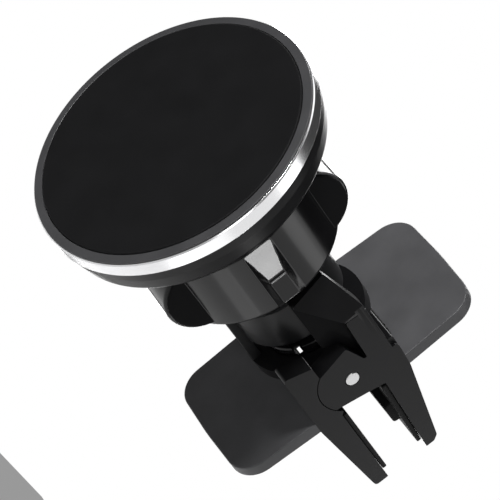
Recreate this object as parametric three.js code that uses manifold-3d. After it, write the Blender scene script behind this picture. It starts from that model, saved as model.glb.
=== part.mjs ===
// Magnetic phone mount that clips onto the louvre of a car's air vent.
// Millimetres. +X runs along the louvre, +Y into the vent, +Z up.
// The origin lies between the jaws, on the neck's axis, where the louvre is gripped.
// Places along the neck are given as a depth: the distance behind the magnetic face.
import * as THREE from 'three';
import { mergeVertices } from 'three/addons/utils/BufferGeometryUtils.js';
import Module from 'manifold-3d';

const wasm = await Module();
wasm.setup();

// ---- driving dimensions ----
const FACE_DEPTH_OF_ORIGIN = 62;   // face to grip centre
const GAP = 0.3;                   // between pieces that touch

// head
const HEAD_R = 22.05;
const PAD_R = 20.4;
const PAD_THICK = 0.9;
const RIM_OUT_R = 21.2;
const BEZEL_FRONT = 0.3;
const BEZEL_BACK = 2.9;
const HOUSING_BACK = 8.7;
const HOUSING_WALL = 1.2;
const MAGNET_COUNT = 6;
const MAGNET_R = 4.5;
const MAGNET_CIRCLE_R = 12.6;
const HOUSING_SCREW_COUNT = 3;
const HOUSING_SCREW_CIRCLE_R = 14.5;

// ball joint and lock nut
const BALL_DEPTH = 22;
const BALL_R = 6.8;
const STUD_R = 3.6;
const NUT_R = 14.3;
const NUT_FRONT = 13.4;
const NUT_BACK = 26.2;             // end of the full radius; a cone leads on to the tail
const NUT_TAIL_R = 12.6;
const NUT_TAIL_BACK = 27.9;
const NUT_BORE_R = 9.9;
const GROOVE_COUNT = 2;
const GROOVE_HALF_TOP = 2.45;
const GROOVE_HALF_FLOOR = 1.35;
const GROOVE_FLOOR_R = 12.6;
const RAMP_FRONT = 14;             // each groove's floor slopes in between these depths
const RAMP_BACK = 22.3;
const EAR_CENTRE_R = 9.8;
const EAR_CENTRE_DEPTH = 19.7;
const EAR_R = 6.05;
const EAR_HALF_X = 9.1;
const EAR_ROUND = 0.6;
const SKIRT_R = 10.7;
const SKIRT_BACK = 28.9;

// neck
const NECK_R = 9.6;
const WAIST_R = 8.9;               // neck behind the nut
const NECK_FRONT = 19.9;
const NECK_BACK = 40.2;
const SOCKET_BORE_R = 8.6;
const SOCKET_FLOOR = 30.9;
const STEM_R = 3.2;
const STEM_BACK = 45.4;
const RIB_Z = -10.1;               // rib along the underside of the neck
const RIB_HALF_X = 1.8;
const RIB_BACK = 44.3;
const COLLAR_R = 7;
const COLLAR_FRONT = 43.6;
const COLLAR_FLAT_Z = 6.4;         // flat of the collar beside the levers

// clip
const CLIP_HALF_X = 12.6;
const PIN_DEPTH = 49.2;
const PIN_R = 1.15;
const EAR_ARC_R = 5.8;             // round end of each moving ear, about the pin
const EAR_INNER_X = 9.2;
const WALL_INNER_X = 9.9;          // lever walls pass outside the neck
const JAW_TIP = 71.9;
const DISC_R = 10.2;               // round seat of the neck on the clip
const DISC_FRONT = 45.1;
const DISC_BACK = 47.3;
const DECK_FRONT = 45.7;
const DECK_THICK = 1;
const DISH_R = 6.4;                // hollow behind the disc, for the screw's head
const WINDOW_X0 = 2.9;             // moulding window through the disc
const WINDOW_X1 = 5.1;
const WINDOW_Z0 = -4.3;
const WINDOW_Z1 = -3.3;
const LUG_R = 3.3;
const LUG_INNER_X = 6.5;
const POCKET_HALF_X = 6.3;         // pocket for the spring's leg
const SLOT_FRONT = 52.6;           // slots that hold the wings' tongues
const SLOT_BACK = 54;
const SLOT_HALF_X = 9.3;
const TONGUE_CLEARANCE = 0.3;
const JAW_OUTER_Z = 8.6;
const LEVER_OUTER_Z = 7.75;        // the levers stand a little lower than the jaw behind them
const BRIDGE_FRONT = 47.7;
const GRIP_RIDGE_PITCH = 1.2;
const GRIP_RIDGE_WIDTH = 0.6;
const PAD_FRONT = 55;              // rubber strips on the jaws
const PAD_BACK = 70.2;
const PAD_HALF_X = 12.2;

// wings
const WING_FRONT = 52.2;
const WING_THICK = 2.2;
const WING_ROOT_Z = 8.9;
const WING_END_Z = 22.4;
const WING_END_HALF_X = 11.8;
const WING_CORNER_R = 4.6;

// ---- materials ----
function material(color, roughness, metalness) {
  return new THREE.MeshStandardMaterial({ color, roughness, metalness });
}
const softBlack = material(0x1b1b1c, 0.8, 0);
const satinBlack = material(0x1e1e20, 0.45, 0);
const glossBlack = material(0x121214, 0.18, 0);
const wingBlack = material(0x232325, 0.7, 0);
const rubber = material(0x101010, 0.9, 0);
const brightMetal = material(0xd9dadc, 0.25, 1);
const steel = material(0x9a9da1, 0.35, 1);
const magnetMetal = material(0xb5b7ba, 0.2, 1);
const innerPlastic = material(0x3a3c3f, 0.6, 0);
const linerPlastic = material(0xd8d4c8, 0.5, 0);

// ---- helpers ----
const at = (depth) => depth - FACE_DEPTH_OF_ORIGIN;

function signedVolume(position, index) {
  const a = new THREE.Vector3();
  const b = new THREE.Vector3();
  const c = new THREE.Vector3();
  let six = 0;
  for (let i = 0; i < index.length; i += 3) {
    a.fromBufferAttribute(position, index[i]);
    b.fromBufferAttribute(position, index[i + 1]);
    c.fromBufferAttribute(position, index[i + 2]);
    six += a.dot(b.cross(c));
  }
  return six / 6;
}

// a closed three.js geometry as a solid whose faces point out
function solid(geometry) {
  geometry.deleteAttribute('normal');
  geometry.deleteAttribute('uv');
  const merged = mergeVertices(geometry, 1e-4);
  const kept = [];
  const all = merged.index.array;
  for (let i = 0; i < all.length; i += 3) {
    const [a, b, c] = [all[i], all[i + 1], all[i + 2]];
    if (a !== b && b !== c && c !== a) kept.push(a, b, c);
  }
  if (signedVolume(merged.attributes.position, kept) < 0) kept.reverse();
  return new wasm.Manifold(new wasm.Mesh({
    numProp: 3,
    vertProperties: merged.attributes.position.array,
    triVerts: new Uint32Array(kept),
  }));
}

// a profile of [radius, depth] points turned about the neck's axis
function turned(profile, segments = 48) {
  const points = profile.map(([r, depth]) => new THREE.Vector2(r, at(depth)));
  const first = points[0];
  const last = points[points.length - 1];
  const onAxis = first.x === 0 && last.x === 0;
  if (!onAxis) points.push(first.clone());
  return solid(new THREE.LatheGeometry(points, segments));
}

function shapeOf(points) {
  return new THREE.Shape(points.map(([a, b]) => new THREE.Vector2(a, b)));
}

// an outline of [depth, z] points pushed along X
function acrossX(outline, x0, x1) {
  const shape = shapeOf(outline.map(([depth, z]) => [at(depth), z]));
  const geometry = new THREE.ExtrudeGeometry(shape, { depth: x1 - x0, bevelEnabled: false });
  const turn = new THREE.Matrix4().set(0, 0, 1, x0, 1, 0, 0, 0, 0, 1, 0, 0, 0, 0, 0, 1);
  return solid(geometry.applyMatrix4(turn));
}

// an outline of [z, x] points pushed along Y between two depths
function alongY(outline, front, back) {
  const shape = shapeOf(outline);
  const geometry = new THREE.ExtrudeGeometry(shape, { depth: back - front, bevelEnabled: false });
  const turn = new THREE.Matrix4().set(0, 1, 0, 0, 0, 0, 1, at(front), 1, 0, 0, 0, 0, 0, 0, 1);
  return solid(geometry.applyMatrix4(turn));
}

// an outline of [x, depth] points pushed along Z
function alongZ(outline, z0, z1) {
  const shape = shapeOf(outline.map(([x, depth]) => [x, at(depth)]));
  const geometry = new THREE.ExtrudeGeometry(shape, { depth: z1 - z0, bevelEnabled: false });
  return solid(geometry.translate(0, 0, z0));
}

function block(x0, x1, front, back, z0, z1) {
  const geometry = new THREE.BoxGeometry(x1 - x0, back - front, z1 - z0);
  geometry.translate((x0 + x1) / 2, at((front + back) / 2), (z0 + z1) / 2);
  return solid(geometry);
}

function rodX(radius, x0, x1, depth, z = 0, sides = 32) {
  const geometry = new THREE.CylinderGeometry(radius, radius, x1 - x0, sides);
  geometry.rotateZ(Math.PI / 2);
  geometry.translate((x0 + x1) / 2, at(depth), z);
  return solid(geometry);
}

function rodY(radius, front, back, x = 0, z = 0, sides = 24) {
  const geometry = new THREE.CylinderGeometry(radius, radius, back - front, sides);
  geometry.translate(x, at((front + back) / 2), z);
  return solid(geometry);
}

// points of an arc of the given centre; angles in degrees
function arc(centreA, centreB, radius, from, to, steps) {
  const points = [];
  for (let i = 0; i <= steps; i += 1) {
    const angle = THREE.MathUtils.degToRad(from + (to - from) * i / steps);
    points.push([centreA + radius * Math.cos(angle), centreB + radius * Math.sin(angle)]);
  }
  return points;
}

function joined(solids) {
  return solids.reduce((sum, piece) => sum.add(piece));
}

function cut(body, cutters) {
  return cutters.reduce((rest, piece) => rest.subtract(piece), body);
}

const part = new THREE.Group();

function addPiece(name, body, look) {
  const data = body.getMesh();
  const geometry = new THREE.BufferGeometry();
  geometry.setAttribute('position', new THREE.BufferAttribute(data.vertProperties, 3));
  geometry.setIndex(new THREE.BufferAttribute(data.triVerts, 1));
  const mesh = new THREE.Mesh(geometry.toNonIndexed(), look);
  mesh.geometry.computeVertexNormals();
  mesh.name = name;
  part.add(mesh);
}

// place number i of count pieces on a circle about the neck's axis, as [x, z]
function onCircle(i, count, radius, startDegrees = 90) {
  const angle = THREE.MathUtils.degToRad(startDegrees + 360 * i / count);
  return [radius * Math.cos(angle), radius * Math.sin(angle)];
}

// ---- magnetic head ----
const FLOOR_FRONT = PAD_THICK + GAP;        // the cover's floor, behind the pad
const FLOOR_BACK = 2.4;
const CARRIER_FRONT = FLOOR_BACK + GAP;
const CARRIER_BACK = 4.1;
const YOKE_FRONT = CARRIER_BACK + GAP;
const YOKE_BACK = 5.4;
const FLANGE_FRONT = YOKE_BACK + GAP;
const FLANGE_BACK = HOUSING_BACK - HOUSING_WALL - GAP;

function facePad() {
  return turned([
    [0, 0], [PAD_R - 0.3, 0], [PAD_R, 0.2], [PAD_R, PAD_THICK], [0, PAD_THICK],
  ], 60);
}

function frontCover() {
  const rimIn = PAD_R + GAP;
  return turned([
    [0, FLOOR_FRONT], [rimIn, FLOOR_FRONT], [rimIn, 0.15], [RIM_OUT_R, 0.3],
    [RIM_OUT_R, BEZEL_BACK], [19.7, BEZEL_BACK], [19.7, FLOOR_BACK], [0, FLOOR_BACK],
  ], 60);
}

function bezelRing() {
  const inner = RIM_OUT_R + GAP;
  return turned([
    [inner, BEZEL_FRONT], [HEAD_R - 0.25, BEZEL_FRONT], [HEAD_R, BEZEL_FRONT + 0.25],
    [HEAD_R, BEZEL_BACK], [inner, BEZEL_BACK],
  ], 60);
}

function magnetCarrier() {
  const plate = turned([
    [3.6, CARRIER_FRONT], [19.3, CARRIER_FRONT], [19.3, CARRIER_BACK], [3.6, CARRIER_BACK],
  ], 48);
  const holes = [];
  for (let i = 0; i < MAGNET_COUNT; i += 1) {
    const [x, z] = onCircle(i, MAGNET_COUNT, MAGNET_CIRCLE_R);
    holes.push(rodY(MAGNET_R + GAP, CARRIER_FRONT - 1, CARRIER_BACK + 1, x, z));
  }
  return cut(plate, holes);
}

function steelYoke() {
  const plate = turned([
    [1.9, YOKE_FRONT], [18.4, YOKE_FRONT], [18.4, YOKE_BACK], [1.9, YOKE_BACK],
  ], 48);
  const holes = [];
  for (let i = 0; i < HOUSING_SCREW_COUNT; i += 1) {
    const [x, z] = onCircle(i, HOUSING_SCREW_COUNT, HOUSING_SCREW_CIRCLE_R, 30);
    holes.push(rodY(1.1, YOKE_FRONT - 1, YOKE_BACK + 1, x, z, 16));
  }
  return cut(plate, holes);
}

function rearHousing() {
  const shell = turned([
    [HEAD_R - 0.15, BEZEL_BACK + GAP], [21.6, 4.8], [21.1, 7], [20.4, 8],
    [19.6, HOUSING_BACK - 0.2], [18.5, HOUSING_BACK], [STUD_R + 0.4, HOUSING_BACK],
    [STUD_R + 0.4, HOUSING_BACK - HOUSING_WALL], [18.6, HOUSING_BACK - HOUSING_WALL],
    [20.2, 5.4], [20.6, BEZEL_BACK + GAP],
  ], 60);
  const bosses = [];
  const holes = [];
  for (let i = 0; i < HOUSING_SCREW_COUNT; i += 1) {
    const [x, z] = onCircle(i, HOUSING_SCREW_COUNT, HOUSING_SCREW_CIRCLE_R, 30);
    bosses.push(rodY(2.6, YOKE_BACK + GAP, HOUSING_BACK - HOUSING_WALL + 0.2, x, z));
    holes.push(rodY(1.1, YOKE_BACK, HOUSING_BACK + 1, x, z, 16));
    holes.push(rodY(1.9, HOUSING_BACK - 0.9, HOUSING_BACK + 1, x, z));
  }
  return cut(joined([shell, ...bosses]), holes);
}

function housingScrew(i) {
  const [x, z] = onCircle(i, HOUSING_SCREW_COUNT, HOUSING_SCREW_CIRCLE_R, 30);
  const head = rodY(1.6, HOUSING_BACK - 0.6, HOUSING_BACK - 0.05, x, z);
  const shank = rodY(0.8, YOKE_FRONT + 0.1, HOUSING_BACK - 0.5, x, z, 12);
  return head.add(shank);
}

function ballStud() {
  const neckMeets = BALL_DEPTH - Math.sqrt(BALL_R ** 2 - STUD_R ** 2);
  const startAngle = THREE.MathUtils.radToDeg(Math.asin(STUD_R / BALL_R));
  const ball = arc(BALL_DEPTH, 0, BALL_R, 180 - startAngle, 0, 10).slice(1, -1);
  return turned([
    [1.8, FLANGE_FRONT], [5.6, FLANGE_FRONT], [5.6, FLANGE_BACK], [STUD_R, FLANGE_BACK],
    [STUD_R, neckMeets], ...ball.map(([depth, r]) => [r, depth]), [0, BALL_DEPTH + BALL_R],
    [0, 11.5], [1.8, 11.5],
  ], 32);
}

function studScrew() {
  const head = rodY(3.1, CARRIER_FRONT + 0.05, YOKE_FRONT - 0.2, 0, 0);
  return head.add(rodY(1.5, CARRIER_BACK - 0.5, 11, 0, 0, 16));
}

// ---- ball joint ----
// a shell about the ball's centre between two angles from the front of the neck's axis
function ballShell(innerR, outerR, from, to) {
  const steps = 4;
  const outside = arc(0, 0, outerR, from, to, steps);
  const inside = arc(0, 0, innerR, to, from, steps);
  const profile = [...outside, ...inside].map(([a, r]) => [r, BALL_DEPTH - a]);
  return turned(profile, 32);
}

function ballLiner() {
  return ballShell(BALL_R + 0.25, BALL_R + 0.75, 92, 138);
}

function ballSeat() {
  const cupR = BALL_R + 1;
  const seatR = SOCKET_BORE_R - GAP;
  const front = BALL_DEPTH + 0.4;
  const back = SOCKET_FLOOR - 0.9 - GAP;
  const firstAngle = THREE.MathUtils.radToDeg(Math.asin(0.4 / cupR));
  const cup = arc(BALL_DEPTH, 0, cupR, 90 - firstAngle, 22, 6).map(([depth, r]) => [r, depth]);
  return turned([
    ...cup, [2.9, back], [seatR - 0.8, back], [seatR, back - 0.8], [seatR, front],
  ], 32);
}

function seatWasher() {
  const back = SOCKET_FLOOR - GAP;
  return turned([[3.2, back - 0.6], [7.6, back - 0.6], [7.6, back], [3.2, back]], 32);
}

// ---- lock nut ----
function lockNut() {
  const lip = arc(0, 0, BALL_R + GAP, 56, 66, 2).map(([a, r]) => [r, BALL_DEPTH - a]);
  const body = turned([
    [7.7, NUT_FRONT], [12.8, NUT_FRONT], [13.9, NUT_FRONT + 0.5], [NUT_R, NUT_FRONT + 1.3],
    [NUT_R, NUT_BACK], [NUT_TAIL_R, NUT_TAIL_BACK], [NUT_BORE_R, NUT_TAIL_BACK],
    [NUT_BORE_R, NECK_FRONT - 0.4], [8, 19.2], ...lip.reverse(),
  ], 60);
  const ears = [1, -1].map((side) => {
    const z = side * EAR_CENTRE_R;
    const wide = rodX(EAR_R, EAR_ROUND - EAR_HALF_X, EAR_HALF_X - EAR_ROUND, EAR_CENTRE_DEPTH, z, 32);
    const narrow = rodX(EAR_R - EAR_ROUND, -EAR_HALF_X, EAR_HALF_X, EAR_CENTRE_DEPTH, z, 32);
    const disc = wasm.Manifold.hull([wide, narrow]);
    return disc.subtract(rodY(NUT_R - 1, 0, 40, 0, 0, 48));
  });
  const grooves = [];
  for (let i = 0; i < GROOVE_COUNT; i += 1) grooves.push(gripGroove(360 * i / GROOVE_COUNT));
  return joined([cut(body, grooves), ...ears]);
}

// one grip groove: its floor slopes in from the front and its sides close towards the floor
function gripGroove(degrees) {
  const outR = 20;
  const flare = (GROOVE_HALF_TOP - GROOVE_HALF_FLOOR) / (NUT_R - GROOVE_FLOOR_R);
  const outHalf = GROOVE_HALF_FLOOR + flare * (outR - GROOVE_FLOOR_R);
  const wedge = alongY([
    [-GROOVE_HALF_FLOOR, GROOVE_FLOOR_R], [GROOVE_HALF_FLOOR, GROOVE_FLOOR_R],
    [outHalf, outR], [-outHalf, outR],
  ], NUT_FRONT - 2, NUT_TAIL_BACK + 2);
  const slope = (RAMP_BACK - RAMP_FRONT) / (NUT_R - GROOVE_FLOOR_R);
  const shape = shapeOf([
    [GROOVE_FLOOR_R, RAMP_BACK], [GROOVE_FLOOR_R - 1, RAMP_BACK], [GROOVE_FLOOR_R - 1, NUT_TAIL_BACK + 1],
    [outR, NUT_TAIL_BACK + 1], [outR, RAMP_FRONT - slope * (outR - NUT_R)],
  ]);
  const geometry = new THREE.ExtrudeGeometry(shape, { depth: 16, bevelEnabled: false });
  geometry.translate(0, -FACE_DEPTH_OF_ORIGIN, -8);
  return wedge.intersect(solid(geometry)).rotate([0, degrees, 0]);
}

// the thrust ring behind the nut, which slides with it
function nutSkirt() {
  const front = NUT_TAIL_BACK + GAP;
  return turned([
    [NUT_BORE_R, front], [SKIRT_R - 0.2, front], [SKIRT_R, front + 0.2],
    [SKIRT_R, SKIRT_BACK], [NUT_BORE_R, SKIRT_BACK],
  ], 48);
}

// ---- neck ----
function neckSocket() {
  const hollowR = 7.8;
  const tube = turned([
    [SOCKET_BORE_R, NECK_FRONT], [NECK_R, NECK_FRONT], [NECK_R, SOCKET_FLOOR],
    [WAIST_R, SOCKET_FLOOR + 1.3], [WAIST_R, NECK_BACK], [hollowR, NECK_BACK],
    [hollowR, SOCKET_FLOOR + 2], [STEM_R, SOCKET_FLOOR + 2], [STEM_R, STEM_BACK],
    [1, STEM_BACK], [1, 37], [0, 37], [0, SOCKET_FLOOR], [SOCKET_BORE_R, SOCKET_FLOOR],
  ], 40);
  const rib = block(-RIB_HALF_X, RIB_HALF_X, SKIRT_BACK + 0.4, RIB_BACK, RIB_Z, 0.8 - WAIST_R);
  return joined([tube, rib]);
}

function neckCollar() {
  const ring = turned([
    [STEM_R + GAP, COLLAR_FRONT], [COLLAR_R - 0.4, COLLAR_FRONT], [COLLAR_R, COLLAR_FRONT + 0.4],
    [COLLAR_R, STEM_BACK], [STEM_R + GAP, STEM_BACK],
  ], 48);
  const front = COLLAR_FRONT - 1;
  const back = STEM_BACK + 1;
  const keyway = block(-2, COLLAR_R + 2, front, back, WINDOW_Z0 - 0.2, WINDOW_Z1 + 0.3);
  const flatForLever = block(-9, 9, front, back, COLLAR_FLAT_Z, 9);
  return cut(ring, [keyway, flatForLever]);
}

function stemScrew() {
  const headFront = DECK_FRONT + DECK_THICK + 0.2;
  return rodY(2.1, headFront, headFront + 0.7).add(rodY(0.7, 38, headFront + 0.4, 0, 0, 12));
}

// ---- clip ----
const EAR_CLEAR_R = EAR_ARC_R + GAP;

function clipBody() {
  const innerZ = -3.95;
  const jawInnerZ = -4.5;
  const reach = THREE.MathUtils.radToDeg(Math.asin(-innerZ / EAR_CLEAR_R));
  const hollow = arc(PIN_DEPTH, 0, EAR_CLEAR_R, 180 + reach, 360 - reach, 12);
  const fixedJaw = acrossX([
    [40.5, -8.5], [42.2, innerZ], ...hollow, [54.3, jawInnerZ], [JAW_TIP, jawInnerZ],
    [JAW_TIP, -6.3], [JAW_TIP - 0.2, -6.7], [JAW_TIP - 0.8, -6.95], [54.6, -JAW_OUTER_Z],
    [42, -JAW_OUTER_Z],
  ], -CLIP_HALF_X, CLIP_HALF_X);
  const lugOuterX = EAR_INNER_X - GAP;
  const lugWeb = [[46, -4], [46, -1], [PIN_DEPTH - 1, 2], [PIN_DEPTH + 3, -1], [53, -6], [47, -6]];
  const lugs = [1, -1].flatMap((side) => {
    const x0 = Math.min(side * LUG_INNER_X, side * lugOuterX);
    const x1 = Math.max(side * LUG_INNER_X, side * lugOuterX);
    return [rodX(LUG_R, x0, x1, PIN_DEPTH), acrossX(lugWeb, x0, x1)];
  });
  const discWidth = block(-lugOuterX, lugOuterX, DISC_FRONT - 1, DISC_BACK + 1, -12, 12);
  const disc = rodY(DISC_R, DISC_FRONT, DISC_BACK, 0, 0, 64).intersect(discWidth);
  const dish = rodY(DISH_R, DECK_FRONT + DECK_THICK, DISC_BACK + 0.6, 0, 0, 48);
  const window = block(WINDOW_X0, WINDOW_X1, DECK_FRONT - 1, DISC_BACK + 1, WINDOW_Z0, WINDOW_Z1);
  const springPocket = block(-POCKET_HALF_X, POCKET_HALF_X, 46.9, 52, -6.6, -3);
  const openFront = block(-EAR_INNER_X, EAR_INNER_X, 39, DISC_FRONT, -9, 0);
  const collarRecess = rodY(COLLAR_R + 0.4, 39, DECK_FRONT, 0, 0, 48);
  const pinHole = rodX(PIN_R + GAP, -14, 14, PIN_DEPTH);
  const screwHole = rodY(1, DECK_FRONT - 1, DECK_FRONT + 3);
  const tongueSlot = block(-SLOT_HALF_X, SLOT_HALF_X, SLOT_FRONT, SLOT_BACK, -9, -6.9);
  const seat = cut(joined([fixedJaw.subtract(openFront), disc]), [collarRecess, dish]);
  return cut(joined([seat, ...lugs]), [window, springPocket, pinHole, screwHole, tongueSlot]);
}

function movingJaw() {
  const back = JAW_OUTER_Z;
  const ear = acrossX([
    ...arc(PIN_DEPTH, 0, EAR_ARC_R, 222, 309, 8),
    [53.9, 1.6], [54.4, 3.7], [54.4, back], [BRIDGE_FRONT + 0.4, back],
    [BRIDGE_FRONT, LEVER_OUTER_Z], [46.6, LEVER_OUTER_Z], [43.2, 1.7],
  ], EAR_INNER_X, CLIP_HALF_X);
  const wall = acrossX([
    [31, -1.1], [38.9, 4.1], [48, 3.7], [54.4, 5], [54.4, back], [BRIDGE_FRONT + 0.4, back],
    [BRIDGE_FRONT, LEVER_OUTER_Z], [38.6, LEVER_OUTER_Z], [37.2, 7.5], [29.4, 5.6],
  ], WALL_INNER_X, CLIP_HALF_X);
  const web = acrossX([
    [31, -1.1], [42, -0.9], [43.2, 1.7], [48, 3.8], [38.9, 4.2],
  ], WALL_INNER_X, WALL_INNER_X + 0.8);
  // the lever's plate leans in towards the neck, and its corner by the thumb is taken off
  const lean = alongZ([[13, 38.9], [12.5, 38.9], [10.9, 29.4], [10.9, 28], [13, 28]], -3, 9);
  const corner = alongY([
    [6, 12.7], [6.5, 12.35], [7.2, 12.3], [7.9, 11.7], [7.9, 12.7],
  ], 38.9, BRIDGE_FRONT);
  const side = cut(joined([ear, wall, web]), [lean, corner]);
  const sides = [side, side.mirror([1, 0, 0])];
  const prong = acrossX([
    [54.4, 3.7], [JAW_TIP, 3.1], [JAW_TIP, 4.7], [JAW_TIP - 0.8, 5.45], [54.4, 8.35],
  ], -CLIP_HALF_X, CLIP_HALF_X);
  const bridge = acrossX([
    [BRIDGE_FRONT, 6.9], [48.1, 6.9], [52, 5], [54.6, 3.7], [54.6, back - 0.3], [53.8, back],
    [BRIDGE_FRONT, back],
  ], -CLIP_HALF_X, CLIP_HALF_X);
  const gripRecess = block(-8.9, 8.9, BRIDGE_FRONT + 0.2, 52.1, 8.1, 9);
  const pinHole = rodX(PIN_R + GAP, -14, 14, PIN_DEPTH);
  const tongueSlot = block(-SLOT_HALF_X, SLOT_HALF_X, SLOT_FRONT, SLOT_BACK, 6.9, 9);
  const cornerCut = [corner, corner.mirror([1, 0, 0])];
  return cut(joined([...sides, prong, bridge]), [pinHole, tongueSlot, gripRecess, ...cornerCut]);
}

function thumbGrip() {
  const base = block(-8.6, 8.6, BRIDGE_FRONT + 0.5, 51.8, 8.4, 8.7);
  const ribs = [];
  for (let i = 0; i < 3; i += 1) {
    const front = BRIDGE_FRONT + 0.8 + GRIP_RIDGE_PITCH * i;
    ribs.push(block(-8.2, 8.2, front, front + GRIP_RIDGE_WIDTH, 8.6, 9));
  }
  return joined([base, ...ribs]);
}

// each pad is a flat rubber strip; the moving one carries a raised bar
function fixedJawPad() {
  return block(-PAD_HALF_X, PAD_HALF_X, PAD_FRONT, PAD_BACK, -4.2, -3.7);
}

function movingJawPad() {
  const front = PAD_FRONT + 0.2;
  const strip = acrossX([
    [front, 3.36], [PAD_BACK, 2.84], [PAD_BACK, 2.34], [front, 2.76],
  ], -PAD_HALF_X, PAD_HALF_X);
  const bar = acrossX([
    [62.6, 2.9], [67.2, 2.7], [67, 1.6], [66.4, 1.3], [63.4, 1.3], [62.8, 1.6],
  ], -9, 9);
  return strip.add(bar);
}

function hingePin() {
  return rodX(PIN_R, -13.8, 12.75, PIN_DEPTH);
}

function pinRing() {
  const ring = rodX(2.4, -13.5, -12.9, PIN_DEPTH);
  const gap = block(-14, -12, PIN_DEPTH, PIN_DEPTH + 4, -0.7, 0.7);
  return cut(ring, [rodX(PIN_R + 0.2, -14, -12, PIN_DEPTH), gap]);
}

// coil about the pin with one leg in the fixed jaw's pocket and one under the lever's bridge
function torsionSpring() {
  const coilR = 1.9;
  const wireR = 0.3;
  const turns = 4;
  const firstX = -5.8;
  const lastX = -2.6;
  const stepsPerTurn = 12;
  const points = [new THREE.Vector3(firstX, at(51.2), -5.6)];
  for (let i = 0; i <= turns * stepsPerTurn; i += 1) {
    const angle = THREE.MathUtils.degToRad(-15) + 2 * Math.PI * i / stepsPerTurn;
    const x = firstX + (lastX - firstX) * i / (turns * stepsPerTurn);
    points.push(new THREE.Vector3(x, at(PIN_DEPTH) + coilR * Math.cos(angle), coilR * Math.sin(angle)));
  }
  points.push(new THREE.Vector3(lastX, at(48), 6.3));
  const section = shapeOf(arc(0, 0, wireR, 0, 300, 5));
  const geometry = new THREE.ExtrudeGeometry(section, {
    steps: 64, bevelEnabled: false, extrudePath: new THREE.CatmullRomCurve3(points),
  });
  return solid(geometry);
}

// ---- wings ----
// outline of one wing in [z, x], tapered outwards with rounded corners
function wingOutline(inset) {
  const root = WING_ROOT_Z + inset;
  const end = WING_END_Z - inset;
  const rootHalf = CLIP_HALF_X - inset;
  const endHalf = WING_END_HALF_X - inset;
  const radius = WING_CORNER_R - inset;
  const corner = arc(end - radius, endHalf - radius, radius, 84, 6, 7);
  const mirrored = corner.map(([z, x]) => [z, -x]).reverse();
  return [[root, -rootHalf], [root, rootHalf], ...corner, [end + 0.15, 0], ...mirrored];
}

function wing(side) {
  const plate = alongY(wingOutline(0), WING_FRONT, WING_FRONT + WING_THICK);
  const pocket = alongY(wingOutline(0.9), WING_FRONT + WING_THICK - 0.9, WING_FRONT + WING_THICK + 1);
  const tongueHalfX = SLOT_HALF_X - TONGUE_CLEARANCE;
  const tongueFront = SLOT_FRONT + TONGUE_CLEARANCE;
  const tongueBack = SLOT_BACK - TONGUE_CLEARANCE;
  const tongue = block(-tongueHalfX, tongueHalfX, tongueFront, tongueBack, 7.2, WING_ROOT_Z + 0.4);
  const upper = plate.subtract(pocket).add(tongue);
  return side > 0 ? upper : upper.mirror([0, 0, 1]);
}

function wingPad(side) {
  const back = WING_FRONT + WING_THICK;
  const upper = alongY(wingOutline(1.2), back - 0.6, back + 0.1);
  return side > 0 ? upper : upper.mirror([0, 0, 1]);
}

// ---- assembly ----
addPiece('face_pad', facePad(), softBlack);
addPiece('front_cover', frontCover(), satinBlack);
addPiece('bezel_ring', bezelRing(), brightMetal);
addPiece('magnet_carrier', magnetCarrier(), innerPlastic);
for (let i = 0; i < MAGNET_COUNT; i += 1) {
  const [x, z] = onCircle(i, MAGNET_COUNT, MAGNET_CIRCLE_R);
  addPiece(`magnet_${i + 1}`, rodY(MAGNET_R, CARRIER_FRONT, CARRIER_BACK, x, z), magnetMetal);
}
addPiece('steel_yoke', steelYoke(), steel);
addPiece('rear_housing', rearHousing(), satinBlack);
for (let i = 0; i < HOUSING_SCREW_COUNT; i += 1) {
  addPiece(`housing_screw_${i + 1}`, housingScrew(i), steel);
}
addPiece('ball_stud', ballStud(), steel);
addPiece('stud_screw', studScrew(), steel);
addPiece('ball_liner', ballLiner(), linerPlastic);
addPiece('ball_seat', ballSeat(), innerPlastic);
addPiece('seat_washer', seatWasher(), steel);
addPiece('lock_nut', lockNut(), glossBlack);
addPiece('nut_skirt', nutSkirt(), glossBlack);
addPiece('neck_socket', neckSocket(), glossBlack);
addPiece('neck_collar', neckCollar(), glossBlack);
addPiece('stem_screw', stemScrew(), steel);
addPiece('clip_body', clipBody(), satinBlack);
addPiece('moving_jaw', movingJaw(), satinBlack);
addPiece('thumb_grip', thumbGrip(), rubber);
addPiece('fixed_jaw_pad', fixedJawPad(), rubber);
addPiece('moving_jaw_pad', movingJawPad(), rubber);
addPiece('hinge_pin', hingePin(), brightMetal);
addPiece('pin_ring', pinRing(), steel);
addPiece('torsion_spring', torsionSpring(), steel);
addPiece('lower_wing', wing(-1), wingBlack);
addPiece('upper_wing', wing(1), wingBlack);
addPiece('lower_wing_pad', wingPad(-1), rubber);
addPiece('upper_wing_pad', wingPad(1), rubber);

export default part;
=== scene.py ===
"""Looks of the magnetic vent mount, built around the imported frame. Metres, +Z up, -Y towards the driver."""
import math

import bmesh
import bpy
from mathutils import Matrix, Vector


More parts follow.
